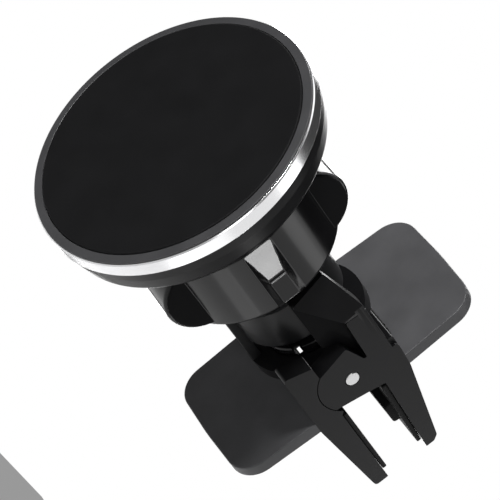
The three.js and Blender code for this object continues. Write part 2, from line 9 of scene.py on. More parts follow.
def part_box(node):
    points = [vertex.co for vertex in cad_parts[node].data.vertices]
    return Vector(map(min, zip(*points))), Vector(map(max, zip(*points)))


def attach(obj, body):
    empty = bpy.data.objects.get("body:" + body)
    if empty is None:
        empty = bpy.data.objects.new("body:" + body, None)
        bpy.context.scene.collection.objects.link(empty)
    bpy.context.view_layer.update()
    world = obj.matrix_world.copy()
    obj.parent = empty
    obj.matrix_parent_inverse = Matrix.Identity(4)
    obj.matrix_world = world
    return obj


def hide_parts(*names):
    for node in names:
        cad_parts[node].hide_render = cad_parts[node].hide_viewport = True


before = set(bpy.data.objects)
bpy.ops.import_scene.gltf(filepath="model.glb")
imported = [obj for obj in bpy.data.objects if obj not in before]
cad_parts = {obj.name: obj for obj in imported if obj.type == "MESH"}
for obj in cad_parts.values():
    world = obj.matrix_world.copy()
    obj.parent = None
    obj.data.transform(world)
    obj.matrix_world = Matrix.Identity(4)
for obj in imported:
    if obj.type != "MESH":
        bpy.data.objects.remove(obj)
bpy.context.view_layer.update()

# Lengths of the pieces are millimetres, and a depth is the distance behind the magnetic face.
# The camera, the lights and the floor are placed in metres.
MM = 0.001
FACE_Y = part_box("face_pad")[0].y / MM


def place(x, depth, z):
    """Metres in the row frame of a point given in millimetres and by its depth."""
    return Vector((x * MM, (FACE_Y + depth) * MM, z * MM))


def depth_of(y_metres):
    return y_metres / MM - FACE_Y


# ---------------------------------------------------------------- camera, light and stage
VIEW_AZIMUTH = math.radians(46.37)
VIEW_ELEVATION = math.radians(-1.13)
VIEW_ROLL = math.radians(52.37)
VIEW_DISTANCE = 0.35
VIEW_TARGET = Vector((0.01355, -0.04782, -0.00087))
LENS_MM = 180
SENSOR_MM = 36
WORLD_SEEN = 1.0
WORLD_FILL = 0.03
FLOOR_HALF = 3
FLOOR_TOP = -0.5


def make_camera():
    back = Vector((
        math.sin(VIEW_AZIMUTH) * math.cos(VIEW_ELEVATION),
        -math.cos(VIEW_AZIMUTH) * math.cos(VIEW_ELEVATION),
        math.sin(VIEW_ELEVATION),
    ))
    right = Vector((0, 0, 1)).cross(back).normalized()
    up = back.cross(right)
    roll = Matrix.Rotation(VIEW_ROLL, 3, back)
    right, up = roll @ right, roll @ up
    data = bpy.data.cameras.new("camera")
    data.lens = LENS_MM
    data.sensor_width = SENSOR_MM
    data.clip_start = 0.01
    camera = bpy.data.objects.new("camera", data)
    camera.matrix_world = Matrix.Translation(VIEW_TARGET + back * VIEW_DISTANCE) @ Matrix((
        (right.x, up.x, back.x, 0),
        (right.y, up.y, back.y, 0),
        (right.z, up.z, back.z, 0),
        (0, 0, 0, 1),
    ))
    bpy.context.collection.objects.link(camera)
    bpy.context.scene.camera = camera


def area_light(name, spot, size, watts, height=None, spread=180):
    """A soft box at spot, metres, that faces the middle of the object."""
    data = bpy.data.lights.new(name, "AREA")
    data.energy = watts
    data.size = size
    data.spread = math.radians(spread)
    if height:
        data.shape = "RECTANGLE"
        data.size_y = height
    light = bpy.data.objects.new(name, data)
    light.location = spot
    light.rotation_euler = (VIEW_TARGET - Vector(spot)).to_track_quat("-Z", "Y").to_euler()
    bpy.context.collection.objects.link(light)


def overhead_light():
    """A broad, distant light from straight above, which keeps the floor pale."""
    data = bpy.data.lights.new("overhead", "SUN")
    data.energy = 1.2
    data.angle = math.radians(60)
    bpy.context.collection.objects.link(bpy.data.objects.new("overhead", data))


def make_world():
    """White to look at, dimmer as a light, so that black plastic stays black."""
    world = bpy.data.worlds.new("studio")
    bpy.context.scene.world = world
    world.use_nodes = True
    nodes = world.node_tree.nodes
    link = world.node_tree.links.new
    nodes.clear()
    output = nodes.new("ShaderNodeOutputWorld")
    mix = nodes.new("ShaderNodeMixShader")
    for slot, strength in ((1, WORLD_FILL), (2, WORLD_SEEN)):
        shade = nodes.new("ShaderNodeBackground")
        shade.inputs["Color"].default_value = (1, 1, 1, 1)
        shade.inputs["Strength"].default_value = strength
        link(shade.outputs[0], mix.inputs[slot])
    path = nodes.new("ShaderNodeLightPath")
    link(path.outputs["Is Camera Ray"], mix.inputs["Fac"])
    link(mix.outputs[0], output.inputs["Surface"])


def make_floor():
    """A pale floor well below the object, wide enough for its shadow."""
    signs = ((-1, -1), (1, -1), (1, 1), (-1, 1))
    corners = [Vector((a * FLOOR_HALF, b * FLOOR_HALF, FLOOR_TOP)) for a, b in signs]
    floor = make_object("floor", corners, [(0, 1, 2, 3)])
    floor.data.materials.append(principled("floor_paint", (0.8, 0.8, 0.8), 0.85)[0])


# ---------------------------------------------------------------- materials
PATCHES_PER_METRE = 180   # scale of the noise that makes patches of finish and colour
ROUGHNESS_VARY = 0.15
COLOUR_VARY = 0.12
COAT_ROUGHNESS = 0.05


def principled(name, colour, roughness, metallic=0.0):
    material = bpy.data.materials.new(name)
    material.use_nodes = True
    shader = material.node_tree.nodes["Principled BSDF"]
    shader.inputs["Base Color"].default_value = (*colour, 1)
    shader.inputs["Roughness"].default_value = roughness
    shader.inputs["Metallic"].default_value = metallic
    return material, shader


def object_coordinates(material, stretch=(1, 1, 1)):
    nodes = material.node_tree.nodes
    source = nodes.new("ShaderNodeTexCoord")
    mapping = nodes.new("ShaderNodeMapping")
    mapping.inputs["Scale"].default_value = stretch
    material.node_tree.links.new(source.outputs["Object"], mapping.inputs["Vector"])
    return mapping.outputs["Vector"]


def noise(material, vector, scale, detail):
    """A 0 to 1 value that wanders scale times a metre."""
    node = material.node_tree.nodes.new("ShaderNodeTexNoise")
    node.inputs["Scale"].default_value = scale
    node.inputs["Detail"].default_value = detail
    material.node_tree.links.new(vector, node.inputs["Vector"])
    return node.outputs["Fac"]


def map_range(material, value, low, high):
    """Maps a 0 to 1 value to low to high."""
    node = material.node_tree.nodes.new("ShaderNodeMapRange")
    node.inputs["To Min"].default_value = low
    node.inputs["To Max"].default_value = high
    material.node_tree.links.new(value, node.inputs["Value"])
    return node.outputs["Result"]


def tint(material, value, dark, light):
    """A colour between dark and light."""
    ramp = material.node_tree.nodes.new("ShaderNodeValToRGB")
    ramp.color_ramp.elements[0].color = (*dark, 1)
    ramp.color_ramp.elements[1].color = (*light, 1)
    ramp.color_ramp.elements[0].position = 0.3
    ramp.color_ramp.elements[1].position = 0.7
    material.node_tree.links.new(value, ramp.inputs["Fac"])
    return ramp.outputs["Color"]


def bump(material, shader, height, distance_mm):
    node = material.node_tree.nodes.new("ShaderNodeBump")
    node.inputs["Distance"].default_value = distance_mm * MM
    material.node_tree.links.new(height, node.inputs["Height"])
    material.node_tree.links.new(node.outputs["Normal"], shader.inputs["Normal"])


def moulded(name, colour, roughness, grain_mm, grain_depth_mm, specular=0.5, coat=0.0):
    """Moulded plastic or rubber: a fine grain, and patches slightly smoother or rougher than the rest."""
    material, shader = principled(name, colour, roughness)
    shader.inputs["Specular IOR Level"].default_value = specular
    if coat:
        shader.inputs["Coat Weight"].default_value = coat
        shader.inputs["Coat Roughness"].default_value = COAT_ROUGHNESS
    vector = object_coordinates(material)
    patches = noise(material, vector, PATCHES_PER_METRE, 4)
    link = material.node_tree.links.new
    smooth, rough = roughness * (1 - ROUGHNESS_VARY), roughness * (1 + ROUGHNESS_VARY)
    link(map_range(material, patches, smooth, rough), shader.inputs["Roughness"])
    dark = tuple(c * (1 - COLOUR_VARY) for c in colour)
    light = tuple(c * (1 + COLOUR_VARY) for c in colour)
    link(tint(material, patches, dark, light), shader.inputs["Base Color"])
    grain = noise(material, vector, 1 / (grain_mm * MM), 2)
    bump(material, shader, grain, grain_depth_mm)
    return material


def turned_metal(name, colour, roughness, stretch, line_mm=0.06, depth_mm=0.0012):
    """Metal with a fine grain, which an uneven stretch draws out into lines where it is small."""
    material, shader = principled(name, colour, roughness, 1.0)
    vector = object_coordinates(material, stretch)
    lines = noise(material, vector, 1 / (line_mm * MM), 2)
    link = material.node_tree.links.new
    link(map_range(material, lines, roughness * 0.75, roughness * 1.3), shader.inputs["Roughness"])
    bump(material, shader, lines, depth_mm)
    return material


MATERIALS = {
    "face_rubber": moulded("face_rubber", (0.004, 0.004, 0.0044), 0.66, 0.12, 0.006, specular=0.12),
    "satin_plastic": moulded("satin_plastic", (0.005, 0.005, 0.0055), 0.34, 0.10, 0.003, specular=0.17),
    "rim_plastic": moulded("rim_plastic", (0.035, 0.035, 0.037), 0.42, 0.08, 0.003),
    "gloss_plastic": moulded(
        "gloss_plastic", (0.004, 0.004, 0.0045), 0.16, 0.6, 0.001, specular=0.25, coat=0.1),
    # A darker, less glossy copy of the black plastic. On the jaw's web it is painted shade; on the nut's ear
    # sides it keeps the nut's colour and only makes the finish duller.
    "dull_and_shaded_plastic": moulded("dull_and_shaded_plastic", (0.004, 0.004, 0.0045), 0.5, 0.10, 0.003, specular=0.05),
    "wing_plastic": moulded("wing_plastic", (0.064, 0.064, 0.067), 0.46, 0.09, 0.006, specular=0.3),
    "inner_plastic": moulded("inner_plastic", (0.05, 0.05, 0.055), 0.5, 0.1, 0.004),
    "liner_plastic": moulded("liner_plastic", (0.65, 0.62, 0.55), 0.45, 0.2, 0.003),
    "rubber": moulded("rubber", (0.008, 0.008, 0.008), 0.75, 0.1, 0.01, specular=0.3),
    "bezel_metal": turned_metal("bezel_metal", (0.82, 0.82, 0.83), 0.2, (1, 14, 1), 0.06, 0.0004),
    "pin_metal": turned_metal("pin_metal", (0.6, 0.6, 0.6), 0.3, (1, 1, 1)),
    "steel": turned_metal("steel", (0.5, 0.5, 0.51), 0.32, (1, 1, 1), 0.12, 0.002),
    "magnet": turned_metal("magnet", (0.66, 0.66, 0.68), 0.18, (1, 1, 1), 0.2, 0.001),
}


# ---------------------------------------------------------------- mesh tools
def rounded(points, arc_points=5):
    """Rounds the corners of a closed outline of (a, b) or (a, b, radius) points."""
    out = []
    for i, point in enumerate(points):
        here = Vector(point[:2])
        radius = point[2] if len(point) > 2 else 0
        if radius <= 0:
            out.append((here.x, here.y))
            continue
        before = Vector(points[i - 1][:2]) - here
        after = Vector(points[(i + 1) % len(points)][:2]) - here
        half_angle = before.angle(after) / 2
        reach = radius / math.tan(half_angle)
        start = here + before.normalized() * reach
        stop = here + after.normalized() * reach
        inward = (before.normalized() + after.normalized()).normalized()
        middle = here + inward * (radius / math.sin(half_angle))
        first = math.atan2(start.y - middle.y, start.x - middle.x)
        swing = math.atan2(stop.y - middle.y, stop.x - middle.x) - first
        swing = (swing + math.pi) % (2 * math.pi) - math.pi
        for k in range(arc_points + 1):
            angle = first + swing * k / arc_points
            out.append((middle.x + radius * math.cos(angle), middle.y + radius * math.sin(angle)))
    return out


def arc(centre, radius, start, stop, steps):
    """Points of an arc; angles in degrees."""
    points = []
    for k in range(steps + 1):
        angle = math.radians(start + (stop - start) * k / steps)
        points.append((centre[0] + radius * math.cos(angle), centre[1] + radius * math.sin(angle)))
    return points


def circle(centre, radius, count):
    """Points evenly round a circle."""
    return arc(centre, radius, 0, 360 - 360 / count, count - 1)


def make_object(name, vertices, faces):
    """A mesh object with double points merged and its faces pointing out."""
    mesh = bpy.data.meshes.new(name)
    mesh.from_pydata([tuple(v) for v in vertices], [], faces)
    work = bmesh.new()
    work.from_mesh(mesh)
    bmesh.ops.remove_doubles(work, verts=work.verts, dist=1e-7)
    bmesh.ops.dissolve_degenerate(work, edges=work.edges, dist=1e-8)
    bmesh.ops.recalc_face_normals(work, faces=work.faces)
    work.to_mesh(mesh)
    work.free()
    thing = bpy.data.objects.new(name, mesh)
    bpy.context.collection.objects.link(thing)
    return thing


def swept(name, ring_of, count):
    """A body of closed rings: ring_of(i) gives ring i's points in metres; the last ring meets the first."""
    vertices, faces = [], []
    rings = [ring_of(i) for i in range(count)]
    size = len(rings[0])
    for ring in rings:
        vertices.extend(ring)
    for i in range(count):
        here, beyond = i * size, (i + 1) % count * size
        for k in range(size):
            after = (k + 1) % size
            faces.append((here + k, here + after, beyond + after, beyond + k))
    return make_object(name, vertices, faces)


def turned(name, profile, steps=160):
    """A closed profile of (radius, depth) turned about the neck's axis."""
    def ring(i):
        angle = 2 * math.pi * i / steps
        return [place(r * math.cos(angle), depth, r * math.sin(angle)) for r, depth in profile]
    return swept(name, ring, steps)


def prism(name, outline, low, high, to_point):
    """A closed outline of (a, b) pushed from low to high; to_point(a, b, c) gives metres."""
    size = len(outline)
    vertices = [to_point(a, b, low) for a, b in outline] + [to_point(a, b, high) for a, b in outline]
    faces = [tuple(range(size)), tuple(range(size, 2 * size))]
    faces += [(k, (k + 1) % size, size + (k + 1) % size, size + k) for k in range(size)]
    return make_object(name, vertices, faces)


def across(name, outline, x0, x1):
    """An outline of (depth, z) pushed along X."""
    return prism(name, outline, x0, x1, lambda depth, z, x: place(x, depth, z))


def along(name, outline, front, back):
    """An outline of (x, z) pushed along the neck's axis."""
    return prism(name, outline, front, back, lambda x, z, depth: place(x, depth, z))


def block(name, x0, x1, front, back, z0, z1):
    return across(name, [(front, z0), (back, z0), (back, z1), (front, z1)], x0, x1)


def rod(name, radius, x0, x1, steps=64):
    """A round bar along the hinge's axis."""
    return across(name, circle((PIN_DEPTH, 0), radius, steps), x0, x1)


def use_modifier(thing, kind, **settings):
    """Adds a modifier and applies it."""
    modifier = thing.modifiers.new(kind.lower(), kind)
    for key, value in settings.items():
        setattr(modifier, key, value)
    graph = bpy.context.evaluated_depsgraph_get()
    mesh = bpy.data.meshes.new_from_object(thing.evaluated_get(graph))
    thing.modifiers.clear()
    thing.data = mesh
    return thing


def combine(thing, others, operation):
    for other in others:
        use_modifier(thing, "BOOLEAN", object=other, operation=operation, solver="EXACT")
        bpy.data.objects.remove(other)
    return thing


def fuse(thing, *others):
    return combine(thing, others, "UNION")


def cut(thing, *others):
    return combine(thing, others, "DIFFERENCE")


def add_mesh(thing, *others):
    """Puts the bodies of others into thing as they are."""
    work = bmesh.new()
    work.from_mesh(thing.data)
    for other in others:
        work.from_mesh(other.data)
        bpy.data.objects.remove(other)
    work.to_mesh(thing.data)
    work.free()
    return thing


def soften(thing, edge_mm, segments=3, angle=32):
    """Rounds every edge sharper than angle."""
    return use_modifier(
        thing, "BEVEL", width=edge_mm * MM, segments=segments, limit_method="ANGLE",
        angle_limit=math.radians(angle), use_clamp_overlap=True,
    )


def dress(thing, material, body, *nodes, crease=28):
    """Gives a finished piece its material, its CAD body and the CAD nodes that it stands for."""
    thing.data.materials.clear()
    thing.data.materials.append(MATERIALS[material])
    thing.data.shade_smooth()
    thing.data.set_sharp_from_angle(angle=math.radians(crease))
    use_modifier(thing, "WEIGHTED_NORMAL", keep_sharp=True)
    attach(thing, body)
    if nodes:
        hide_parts(*nodes)
    return thing


FLAT_SIDE = 0.94          # how squarely a face looks along X to count as a flat side


def dull_and_shade(thing, low_x, high_x, picks):
    """Gives a duller finish to the flat sides that lie between two distances from the middle plane; where
    that plastic is darker than the piece's own, it is painted shade.
    """
    thing.data.materials.append(MATERIALS["dull_and_shaded_plastic"])
    for face in thing.data.polygons:
        x, depth, z = abs(face.center.x) / MM, depth_of(face.center.y), face.center.z / MM
        if low_x < x < high_x and abs(face.normal.x) > FLAT_SIDE and picks(depth, z):
            face.material_index = 1


# ---------------------------------------------------------------- head
HEAD_R = 22.05
PAD_R = 20.4
PAD_BACK = 0.9
RIM_R = 21.82
COVER_R = 21.2
COVER_SKIRT_R = 19.7
COVER_FRONT = 1.2
COVER_BACK = 2.4
COVER_HOLE_R = 1
BEZEL_INNER_R = 21.3
BEZEL_BACK = 2.9
HOUSING_FLOOR = 7.5
HOUSING_BACK = 8.7
HOUSING_HOLE_R = 4.0
SCREW_CIRCLE_R = 14.5
SCREW_HEAD_R = 1.6
COUNTERBORE_R = 1.9
CROSS_HALF_LENGTH = 0.95
CROSS_HALF_WIDTH = 0.2


def face_pad():
    return turned("face_pad_skin", rounded([
        (0, 0), (6, 0), (12, 0), (PAD_R, 0, 0.28), (PAD_R, PAD_BACK), (0, PAD_BACK),
    ], 6), 192)


def front_cover():
    inner = PAD_R + 0.06
    return turned("front_rim", rounded([
        (inner, COVER_FRONT), (inner, 0.12, 0.1), (RIM_R, 0.3, 0.1), (RIM_R, 0.52, 0.05), (COVER_R, 0.58),
        (COVER_R, BEZEL_BACK), (COVER_SKIRT_R, BEZEL_BACK), (COVER_SKIRT_R, COVER_BACK),
        (COVER_HOLE_R, COVER_BACK), (COVER_HOLE_R, COVER_FRONT),
    ], 4), 192)


def bezel_ring():
    return turned("bezel", rounded([
        (BEZEL_INNER_R, 0.66), (RIM_R + 0.04, 0.56, 0.04), (HEAD_R, 0.74, 0.06), (HEAD_R, BEZEL_BACK, 0.1),
        (BEZEL_INNER_R, BEZEL_BACK),
    ], 4), 256)


def screw_places():
    """The (x, z) of each housing screw."""
    angles = [math.radians(30 + 120 * i) for i in range(3)]
    return [(SCREW_CIRCLE_R * math.cos(angle), SCREW_CIRCLE_R * math.sin(angle)) for angle in angles]


def rear_housing():
    front = BEZEL_BACK + 0.12
    shell = turned("housing_shell", rounded([
        (21.8, front, 0.15), (21.6, 4.8, 3), (21.05, 7.2, 1.2), (20.3, 8.2, 0.6), (18.8, HOUSING_BACK, 0.8),
        (HOUSING_HOLE_R + 0.4, HOUSING_BACK, 0.3), (HOUSING_HOLE_R, HOUSING_BACK - 0.5),
        (HOUSING_HOLE_R, HOUSING_FLOOR), (18.6, HOUSING_FLOOR), (20.2, 5.4), (20.6, front),
    ], 6), 224)
    counterbores = [
        along("cutter", circle(centre, COUNTERBORE_R, 60), HOUSING_BACK - 0.85, HOUSING_BACK + 1.3)
        for centre in screw_places()
    ]
    return soften(cut(shell, *counterbores), 0.12, 2, 50)


def housing_screws():
    """Three screw heads, each sunk in its counterbore, with a cross recess."""
    made = []
    for number, (x, z) in enumerate(screw_places(), 1):
        outline = circle((x, z), SCREW_HEAD_R, 48)
        head = soften(
            along("housing_screw_head_%d" % number, outline, HOUSING_BACK - 0.8, HOUSING_BACK - 0.1), 0.18)
        for a, b in ((CROSS_HALF_LENGTH, CROSS_HALF_WIDTH), (CROSS_HALF_WIDTH, CROSS_HALF_LENGTH)):
            slot = [(x - a, z - b), (x + a, z - b), (x + a, z + b), (x - a, z + b)]
            cut(head, along("cutter", slot, HOUSING_BACK - 0.5, HOUSING_BACK + 1.3))
        made.append(head)
    return made


# ---------------------------------------------------------------- ball and lock nut
BALL_DEPTH = 22
BALL_R = 6.8
STUD_R = 3.6
FLANGE_R = 5.6
FLANGE_FRONT = 5.7
FLANGE_BACK = 6.9
NUT_R = 14.3
NUT_FRONT = 13.4
NUT_BACK = 26.2
NUT_TAIL_BACK = 27.9
NUT_BORE_R = 9.9
GROOVE_FLOOR_R = 12.6
GROOVE_HALF_TOP = 2.45
GROOVE_HALF_FLOOR = 1.35
RAMP_FRONT = 12.8
RAMP_BACK = 22.3
EAR_CENTRE_R = 9.8
EAR_DEPTH = 19.7
EAR_R = 6.05
EAR_HALF_X = 9.1
EAR_CORNER = 1.3
EAR_REACH = 1.3           # radians either side of an ear's middle
EAR_ROOT = 0.1
GROOVE_EDGE = 0.16
GROOVE_REACH = math.radians(16)
BEAD_HEIGHT = 0.1
BEAD_HALF_LENGTH = 0.25
BEAD_DEPTH = RAMP_BACK + 0.35
GROOVES = (0, 180)        # degrees round the nut
EARS = (90, 270)
THRUST_R = 10.7
THRUST_BACK = 28.9


def ball_stud():
    start = 180 - math.degrees(math.asin(STUD_R / BALL_R))
    profile = [(0, FLANGE_FRONT), (FLANGE_R, FLANGE_FRONT), (FLANGE_R, FLANGE_BACK), (STUD_R, FLANGE_BACK)]
    profile += [(STUD_R, 8 + k) for k in range(8)]
    profile += [(r, depth) for depth, r in arc((BALL_DEPTH, 0), BALL_R, start, 0, 40)]
    return turned("ball_and_stud", profile, 96)


def smooth_max(a, b, blend):
    """The larger of two values, rounded off where they differ by less than blend."""
    h = max(blend - abs(a - b), 0) / blend
    return max(a, b) + h * h * blend / 4


def smooth_min(a, b, blend):
    return -smooth_max(-a, -b, blend)


def groove_floor(depth):
    """The groove's floor slopes in, ends in a small bead and runs level to the back."""
    t = (depth - RAMP_FRONT) / (RAMP_BACK - RAMP_FRONT)
    ramp = NUT_R + (GROOVE_FLOOR_R - NUT_R) * t
    bead = BEAD_HEIGHT * math.exp(-((depth - BEAD_DEPTH) / BEAD_HALF_LENGTH) ** 2)
    return smooth_max(ramp, GROOVE_FLOOR_R, 0.08) + bead


def groove_wall(off):
    """Radius of a groove's side wall at an angle off from its middle."""
    flare = (GROOVE_HALF_TOP - GROOVE_HALF_FLOOR) / (NUT_R - GROOVE_FLOOR_R)
    bottom = 1 - math.sin(off) / flare
    return (GROOVE_FLOOR_R - GROOVE_HALF_FLOOR / flare) / bottom if bottom > 0.05 else 99


def ear_radius(off, depth):
    """Radius of an ear's surface at an angle off from its middle, or 0 where it has none."""
    rise = EAR_R ** 2 - (depth - EAR_DEPTH) ** 2
    if rise <= 0 or off > EAR_REACH:
        return 0
    crown = (EAR_CENTRE_R + math.sqrt(rise)) / math.cos(off)
    side = EAR_HALF_X / max(math.sin(off), 0.05)
    return smooth_min(crown, side, EAR_CORNER)


def off_from(angle, middle):
    """The angle between two directions, in radians."""
    return abs((angle - middle + math.pi) % (2 * math.pi) - math.pi)


def nut_radius(angle, depth):
    radius = smooth_min(NUT_R, NUT_R - (depth - NUT_BACK), 0.3)
    for middle in GROOVES:
        off = off_from(angle, math.radians(middle))
        if off < GROOVE_REACH:
            groove = smooth_max(groove_floor(depth) / math.cos(off), groove_wall(off), GROOVE_EDGE)
            radius = smooth_min(radius, groove, GROOVE_EDGE)
    for middle in EARS:
        off = off_from(angle, math.radians(middle))
        radius = smooth_max(radius, ear_radius(off, depth), EAR_ROOT)
    return radius


def nut_angles():
    """Angles round the nut, close together at the grooves' walls and the ears' corners."""
    coarse, fine = 1.5, 0.4
    marks = {coarse * step for step in range(240)}
    for middle in GROOVES:
        marks |= {round(middle - 12 + fine * step, 3) % 360 for step in range(61)}
    for middle in EARS:
        for side in (-1, 1):
            marks |= {round(middle + side * (24 + fine * step), 3) % 360 for step in range(45)}
    return [math.radians(a) for a in sorted(marks)]


def lock_nut():
    angles = nut_angles()
    steps = 76
    corner = 0.8
    front = NUT_FRONT + corner
    back = NUT_TAIL_BACK - 0.15
    depths = [front + (back - front) * k / steps for k in range(steps + 1)]
    inside = [
        (NUT_BORE_R, NUT_TAIL_BACK), (NUT_BORE_R, 19.5), (8, 19.2), (6.5, 19.1), (5.95, 18), (6.4, 16.9),
        (7.5, 13.9), (7.8, NUT_FRONT),
    ]

    def ring(i):
        c, s = math.cos(angles[i]), math.sin(angles[i])
        outside = [(nut_radius(angles[i], d), d) for d in depths]
        edge = outside[0][0] - corner
        crown = []
        for degrees in (88, 70, 52, 35, 18):
            swing = math.radians(degrees)
            crown.append((edge + corner * math.cos(swing), front - corner * math.sin(swing)))
        foot = [(outside[-1][0] - 0.08, NUT_TAIL_BACK - 0.04), (outside[-1][0] - 0.2, NUT_TAIL_BACK)]
        return [place(r * c, d, r * s) for r, d in inside + crown + outside + foot]
    return swept("lock_nut_body", ring, len(angles))


def thrust_ring():
    front = NUT_TAIL_BACK + 0.06
    return turned("thrust_ring", rounded([
        (NUT_BORE_R, front), (THRUST_R, front, 0.1), (THRUST_R, THRUST_BACK, 0.2), (NUT_BORE_R, THRUST_BACK),
    ], 4), 192)


# ---------------------------------------------------------------- neck
NECK_R = 9.6
NECK_BORE_R = 8.6
NECK_FRONT = 19.9
NECK_FLOOR = 30.9
NECK_BACK = 40.2
WAIST_R = 8.9
WAIST_BORE_R = 7.8
WAIST_FLOOR = 32.9
STEM_R = 3.2
STEM_HOLE_R = 1
STEM_BACK = 45.4
RIB_HALF_X = 1.8
RIB_FRONT = 29.3
RIB_BACK = 44.3
RIB_Z = -10.1
COLLAR_R = 7
COLLAR_BORE_R = 3.4
COLLAR_FRONT = 43.6
COLLAR_FLAT_Z = 6.4


def neck_socket():
    neck = turned("neck_tube", rounded([
        (NECK_BORE_R, NECK_FRONT), (NECK_R, NECK_FRONT, 0.2), (NECK_R, NECK_FLOOR, 1.2), (WAIST_R, 32.3, 1.2),
        (WAIST_R, NECK_BACK, 0.35), (WAIST_BORE_R, NECK_BACK, 0.25), (WAIST_BORE_R, WAIST_FLOOR),
        (STEM_R, WAIST_FLOOR), (STEM_R, STEM_BACK), (STEM_HOLE_R, STEM_BACK), (STEM_HOLE_R, 37),
        (STEM_HOLE_R, NECK_FLOOR), (NECK_BORE_R, NECK_FLOOR),
    ], 6), 192)
    rib = block("rib", -RIB_HALF_X, RIB_HALF_X, RIB_FRONT, RIB_BACK, RIB_Z, 0.6 - WAIST_R)
    return add_mesh(neck, soften(rib, 0.25))


def neck_collar():
    ring = turned("collar", rounded([
        (COLLAR_BORE_R, COLLAR_FRONT), (COLLAR_R, COLLAR_FRONT, 0.4), (COLLAR_R, STEM_BACK),
        (COLLAR_BORE_R, STEM_BACK),
    ], 5), 128)
    keyway = block("cutter", -2, 9, 43, 46, -4.5, -3)
    flat = block("cutter", -9, 9, 43, 46, COLLAR_FLAT_Z, 9)
    return cut(ring, keyway, flat)


# ---------------------------------------------------------------- clip
CLIP_HALF_X = 12.6
PIN_DEPTH = 49.2
PIN_R = 1.15
PIN_HOLE_R = PIN_R + 0.12
EAR_ARC_R = 5.8
TIP = 71.9
EAR_INNER_X = 9.3
POCKET_HALF_X = 8.9
PLATE_INNER_X = 9.9
PLATE_OUTER_X = 12.75
WEB_OUTER_X = 10.7
LEAN_START = 38.9
LEAN = 0.19
STEP_DEPTH = 38.6
STEP_IN = 0.22
DISC_R = 10.2
DISC_FRONT = 45.1
DISC_BACK = 47.3
DISH_R = 7.4
DISC_HOLLOW_R = 6.4
LUG_R = 3.3
LUG_INNER_X = 6.5
BRIDGE_FRONT = 47.7
BRIDGE_HALF_X = 12
SLOT_HALF_X = 9.3
SLOT_FRONT = 52.6
SLOT_BACK = 54
SLOT_INNER_Z = 6.9
SLOT_OUTER_Z = 9.2
GRIP_HALF_X = 8.6
RIDGE_PITCH = 1.2
RIDGE_WIDTH = 0.6
JAW_PAD_HALF_X = 12.3
JAW_PAD_BACK = 70.2
RING_R = 2.4
PRONG_TIP = [(TIP, 3.1, 0.15), (TIP, 4.6, 0.5), (71.1, 5.5, 0.9)]


def wing_slot(side):
    """Room in a jaw for the tongue of its wing."""
    z0, z1 = sorted((side * SLOT_INNER_Z, side * SLOT_OUTER_Z))
    return block("cutter", -SLOT_HALF_X, SLOT_HALF_X, SLOT_FRONT, SLOT_BACK, z0, z1)


def clip_body():
    """The fixed jaw, hollowed for the moving jaw's ears, with the end disc and the hinge's two lugs."""
    hollow_r = EAR_ARC_R + 0.15
    inner = -3.95
    reach = math.degrees(math.asin(-inner / hollow_r))
    hollow = arc((PIN_DEPTH, 0), hollow_r, 180 + reach, 360 - reach, 24)
    corners = [(40.5, -8.6, 0.6), (42.15, inner, 0.25)] + hollow + [
        (54.3, -4.5), (TIP, -4.5, 0.15), (TIP, -6.8, 0.6), (71, -7, 0.8), (54.6, -8.6, 1.0),
    ]
    jaw = across("fixed_jaw", rounded(corners, 5), -CLIP_HALF_X, CLIP_HALF_X)
    cut(jaw, block("cutter", -EAR_INNER_X, EAR_INNER_X, 39, DISC_FRONT, -9, 0))
    disc = along("disc", circle((0, 0), DISC_R, 144), DISC_FRONT, DISC_BACK)
    cut(
        disc,
        block("cutter", POCKET_HALF_X, 12, 44, 49, -12, 12),
        block("cutter", -12, -POCKET_HALF_X, 44, 49, -12, 12),
    )
    fuse(jaw, disc)
    dish = along("cutter", circle((0, 0), DISH_R, 120), 39, 45.7)
    back_hollow = along("cutter", circle((0, 0), DISC_HOLLOW_R, 120), 46.7, 47.9)
    cut(jaw, dish, back_hollow)
    web = [(46, -4.2), (46, -1), (48.2, 2), (52.2, -1), (53, -6), (47, -6)]
    for side in (-1, 1):
        x0, x1 = sorted((side * LUG_INNER_X, side * POCKET_HALF_X))
        fuse(jaw, rod("lug", LUG_R, x0, x1), across("web", web, x0, x1))
    window = block("cutter", 2.9, 5.1, 44, 49, -4.3, -3.3)
    spring_pocket = block("cutter", -6.3, 6.3, 46.9, 52, -6.6, -3)
    pin_hole = rod("cutter", PIN_HOLE_R, -14, 14)
    screw_hole = along("cutter", circle((0, 0), STEM_HOLE_R, 36), 44, 49)
    cut(jaw, window, spring_pocket, pin_hole, screw_hole, wing_slot(-1))
    return soften(jaw, 0.2, 3, 35)


def lever_side(side):
    """One side of the moving jaw: the ear round the pin, the lever's leaning plate and the web below it."""
    round_end = arc((PIN_DEPTH, 0), EAR_ARC_R, 222, 305, 24)
    outline = round_end + [(53.9, 1.6, 0.2), (54.4, 3.7, 0.4)] + PRONG_TIP + [
        (54.6, 8.4, 1.2), (49.6, 8.65, 0.8), (48.2, 7.75, 0.4), (39.2, 7.72, 0.4), (38.9, 4.0, 0.3),
        (48.6, 3.7, 0.3), (43.2, 1.75, 0.4),
    ]
    ear = across("lever_side", rounded(outline, 5), EAR_INNER_X, CLIP_HALF_X)
    web = across("web", rounded([
        (31, -1.1, 0.3), (42, -0.9, 0.4), (43.2, 1.7), (48.6, 3.8), (50, 6), (50, 7.5), (39.5, 7.5),
        (37.2, 7.2), (29.6, 5.3, 0.3),
    ], 4), PLATE_INNER_X, WEB_OUTER_X)
    plate = across("plate", rounded([
        (31, -1.1, 0.4), (38.95, 4.1, 0.1), (39.3, 7.6, 0.1), (38.6, 7.7, 0.5), (37.3, 7.5, 0.8),
        (29.4, 5.6, 0.3),
    ], 4), PLATE_INNER_X, PLATE_OUTER_X)
    slice_at(plate, STEP_DEPTH - 0.25)
    lean(plate)
    fuse(ear, web, plate)
    if side < 0:
        mirror(ear)
    return ear


